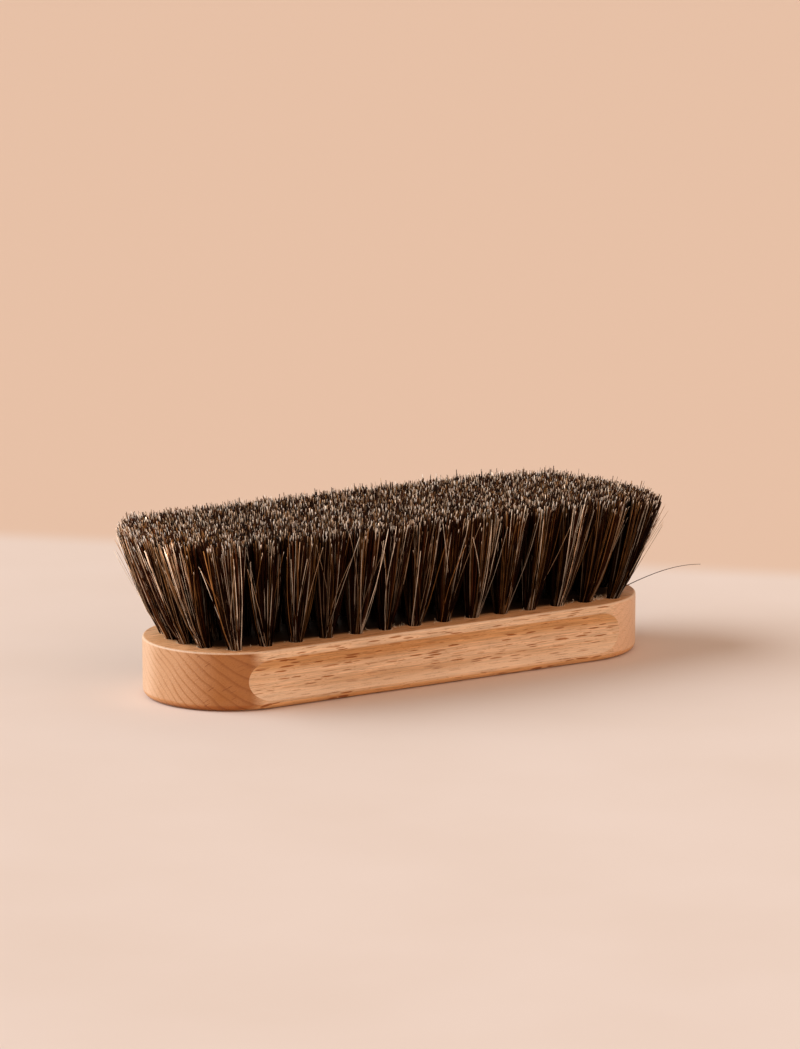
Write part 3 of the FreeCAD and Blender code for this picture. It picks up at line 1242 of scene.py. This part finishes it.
@dataclass
class Block:
    """The beech block: finish of the CAD solid, burrs at the mouths of its holes, and shavings, in metres."""

    finish: Material
    burr_finish: Material
    mesher: StrandMesher = StrandMesher()

    burrs: int = 8
    burr_seed: int = 11
    burr_length: Span = (0.3 * MM, 0.8 * MM)
    burr_radius: Span = (0.07 * MM, 0.15 * MM)
    burr_fan: Span = (-1.8, 1.8)
    burr_slant: Span = (-1.2, 1.2)
    burr_curl: Span = (0.1, 0.5)
    burr_gap: Span = (0.0, 0.2 * MM)
    burr_lean: float = 0.7
    burr_sink: float = 0.03 * MM
    burr_stations: Stations = (0.0, 0.35, 0.7, 1.0)
    burr_taper: Stations = (1.0, 0.9, 0.6, 0.2)

    shavings: int = 28
    shaving_seed: int = 23
    shaving_along: Span = (-2.6 * MM, 2.6 * MM)
    shaving_across: Span = (-2.4 * MM, 0.8 * MM)
    shaving_sweep: Span = (2.0, 4.8)
    shaving_curl: Span = (0.45 * MM, 1.1 * MM)
    shaving_lift: float = 0.7
    shaving_drift: float = 0.3
    shaving_radius: float = 0.1 * MM
    shaving_taper: float = 0.5
    shaving_stations: int = 9

    @property
    def face(self) -> float:
        """Height of the hair face."""
        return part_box("block")[1].z

    def dress(self) -> None:
        """Gives the CAD block its finish."""
        dress("block", self.finish)

    def build_burrs(self, tufts: list[TuftSolid]) -> None:
        """Builds the torn pale fibres at the outer side of the holes of the rim.

        Args:
            tufts: tufts of the rim.
        """
        rng = np.random.default_rng(self.burr_seed)
        count = self.burrs * len(tufts)
        feet = np.repeat([tuft.foot for tuft in tufts], self.burrs, axis=0)
        rims = np.repeat([tuft.foot_radius for tuft in tufts], self.burrs)
        lean = np.repeat([tuft.crown - tuft.foot for tuft in tufts], self.burrs, axis=0)
        angle = np.arctan2(lean[:, 1], lean[:, 0]) + rng.uniform(*self.burr_fan, count)
        out = np.stack([np.cos(angle), np.sin(angle), np.zeros(count)], axis=1)
        side = np.stack([-np.sin(angle), np.cos(angle), np.zeros(count)], axis=1)
        length = rng.uniform(*self.burr_length, count)[:, None]
        slant = rng.uniform(*self.burr_slant, (count, 1))
        curl = rng.uniform(*self.burr_curl, (count, 1))
        start = feet + out * (rims + rng.uniform(*self.burr_gap, count))[:, None] - self.burr_sink * UP
        lines = [start + length * (share * (self.burr_lean * out + slant * side) + curl * share ** 2 * UP)
                 for share in self.burr_stations]
        radii = rng.uniform(*self.burr_radius, (count, 1)) * np.array(self.burr_taper)
        strands = Strands.plain(np.stack(lines, axis=1), radii, np.array(self.burr_stations))
        self.mesher.build("hole_burrs", strands, self.burr_finish, Slot.BEECH)

    def build_shavings(self, tufts: list[TuftSolid]) -> None:
        """Builds curled shavings left between the tufts of a row, most of them towards its right end.

        Args:
            tufts: tufts of the row, from left to right.
        """
        rng = np.random.default_rng(self.shaving_seed)
        along = np.linspace(0, 1, self.shaving_stations)
        lines = []
        for _ in range(self.shavings):
            after = len(tufts) - 1 - int((len(tufts) - 1) * rng.random() ** 2)
            middle = (tufts[after].foot + tufts[after - 1].foot) / 2
            aside = [rng.uniform(*self.shaving_along), rng.uniform(*self.shaving_across), 0.0]
            turn = rng.uniform(0, 2 * math.pi)
            arc = rng.uniform(*self.shaving_sweep) * along[:, None]
            curl = rng.uniform(*self.shaving_curl)
            heading = np.array([math.cos(turn), math.sin(turn), 0.0])
            lift = self.shaving_radius + self.shaving_lift * curl * (1 - np.cos(arc))
            drift = curl * (np.sin(arc) + self.shaving_drift * arc)
            lines.append(middle + aside + drift * heading + lift * UP)
        radii = np.tile(self.shaving_radius * (1 - self.shaving_taper * along), (self.shavings, 1))
        strands = Strands.plain(np.stack(lines), radii, along)
        self.mesher.build("wood_shavings", strands, self.burr_finish, Slot.BEECH)


@dataclass
class Anchors:
    """The flat wire anchors in the holes."""

    finish: Material

    def dress(self) -> None:
        """Gives the CAD anchors their finish."""
        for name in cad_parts:
            if name.startswith("anchors"):
                dress(name, self.finish)


@dataclass(frozen=True)
class Lamp:
    """A distant soft light; bearing, height and width are in degrees, as seen from the brush."""

    name: str
    bearing: float
    height: float
    width: float
    strength: float
    colour: Colour
    distance: float = 3.0

    def hang(self) -> None:
        """Adds the light to the scene."""
        light = bpy.data.lights.new(self.name, "SUN")
        light.angle = math.radians(self.width)
        light.energy = self.strength
        light.color = self.colour
        bearing, height = math.radians(self.bearing), math.radians(self.height)
        level = math.cos(height)
        back = Vector((level * math.cos(bearing), level * math.sin(bearing), math.sin(height)))
        lamp = put(self.name, light)
        lamp.location = self.distance * back
        lamp.rotation_euler = back.to_track_quat("Z", "Y").to_euler()


@dataclass
class Studio:
    """Pale floor, a cool window light from the left, warm light of the room, and the camera, in metres."""

    floor_finish: Material
    floor_half: float = 14.0
    floor_height: float = -0.1 * MM
    lamps: tuple[Lamp, ...] = (Lamp("window", 147.5, 39.0, 50.0, 2.8, COOL),
                               Lamp("room_front", -98.0, 30.0, 70.0, 0.9, WARM))
    room_strength: float = 0.53
    camera_place: Point = (-0.7601, -1.1913, 0.3249)
    camera_aim: Point = (0.5289, 0.8266, -0.1924)
    camera_clip: Span = (0.01, 100.0)
    focal_length: float = 152.36
    sensor: float = 36.0

    def build(self) -> None:
        """Builds the floor, the lamps, the sky and the camera."""
        self._floor()
        for lamp in self.lamps:
            lamp.hang()
        world = bpy.context.scene.world or bpy.data.worlds.new("sky")
        bpy.context.scene.world = world
        world.use_nodes = True
        sky = world.node_tree.nodes["Background"].inputs
        sky["Color"].default_value = (*WARM, 1.0)
        sky["Strength"].default_value = self.room_strength
        bpy.context.scene.view_settings.view_transform = "Standard"
        self._camera()

    def _floor(self) -> None:
        """Lays the floor under the block."""
        half = self.floor_half
        corners = [(-half, -half, 0), (half, -half, 0), (half, half, 0), (-half, half, 0)]
        mesh = bpy.data.meshes.new("floor")
        mesh.from_pydata(corners, [], [(0, 1, 2, 3)])
        mesh.materials.append(self.floor_finish)
        floor = put("floor", mesh)
        floor.location.z = self.floor_height

    def _camera(self) -> None:
        """Sets up the camera."""
        data = bpy.data.cameras.new("camera")
        data.lens = self.focal_length
        data.sensor_width = self.sensor
        data.clip_start, data.clip_end = self.camera_clip
        camera = put("camera", data)
        camera.location = self.camera_place
        camera.rotation_euler = Vector(self.camera_aim).to_track_quat("-Z", "Y").to_euler()
        bpy.context.scene.camera = camera


def main() -> None:
    """Builds the brush and its studio."""
    logging.basicConfig(level=logging.INFO, format="%(name)s: %(message)s")
    gloss = make_mottle()
    figure = BeechFigure().build()
    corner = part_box("block")[1]
    straight = corner.x - corner.y
    beech = BeechFinish("oiled_beech", gloss, figure, straight).build()
    fresh = BeechFinish("fresh_beech", gloss, figure, straight, fresh=0.9, rough=(0.6, 0.75)).build()
    hair = HairFinish("natural_hair", gloss).build()
    wire = WireFinish("anchor_wire", gloss).build()

    block = Block(beech, fresh)
    block.dress()
    Anchors(wire).dress()
    tufts = {name: TuftSolid.read(node, block.face)
             for name, node in sorted(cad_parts.items()) if name.startswith("tuft")}
    block.build_burrs([group[0] for name, group in tufts.items() if name.startswith("tuft_")])
    block.build_shavings([group[0] for name, group in tufts.items() if name.startswith("tuft_front")])
    trim = TrimLine.read([tuft for group in tufts.values() for tuft in group], spare=0.6 * MM)
    HairField(block.face, hair, trim).build(tufts)
    StrayHairs(hair).build(tufts["tuft_right_1"][0])
    Studio(FloorFinish("pale_floor", gloss).build()).build()


if __name__ == "__main__":
    main()
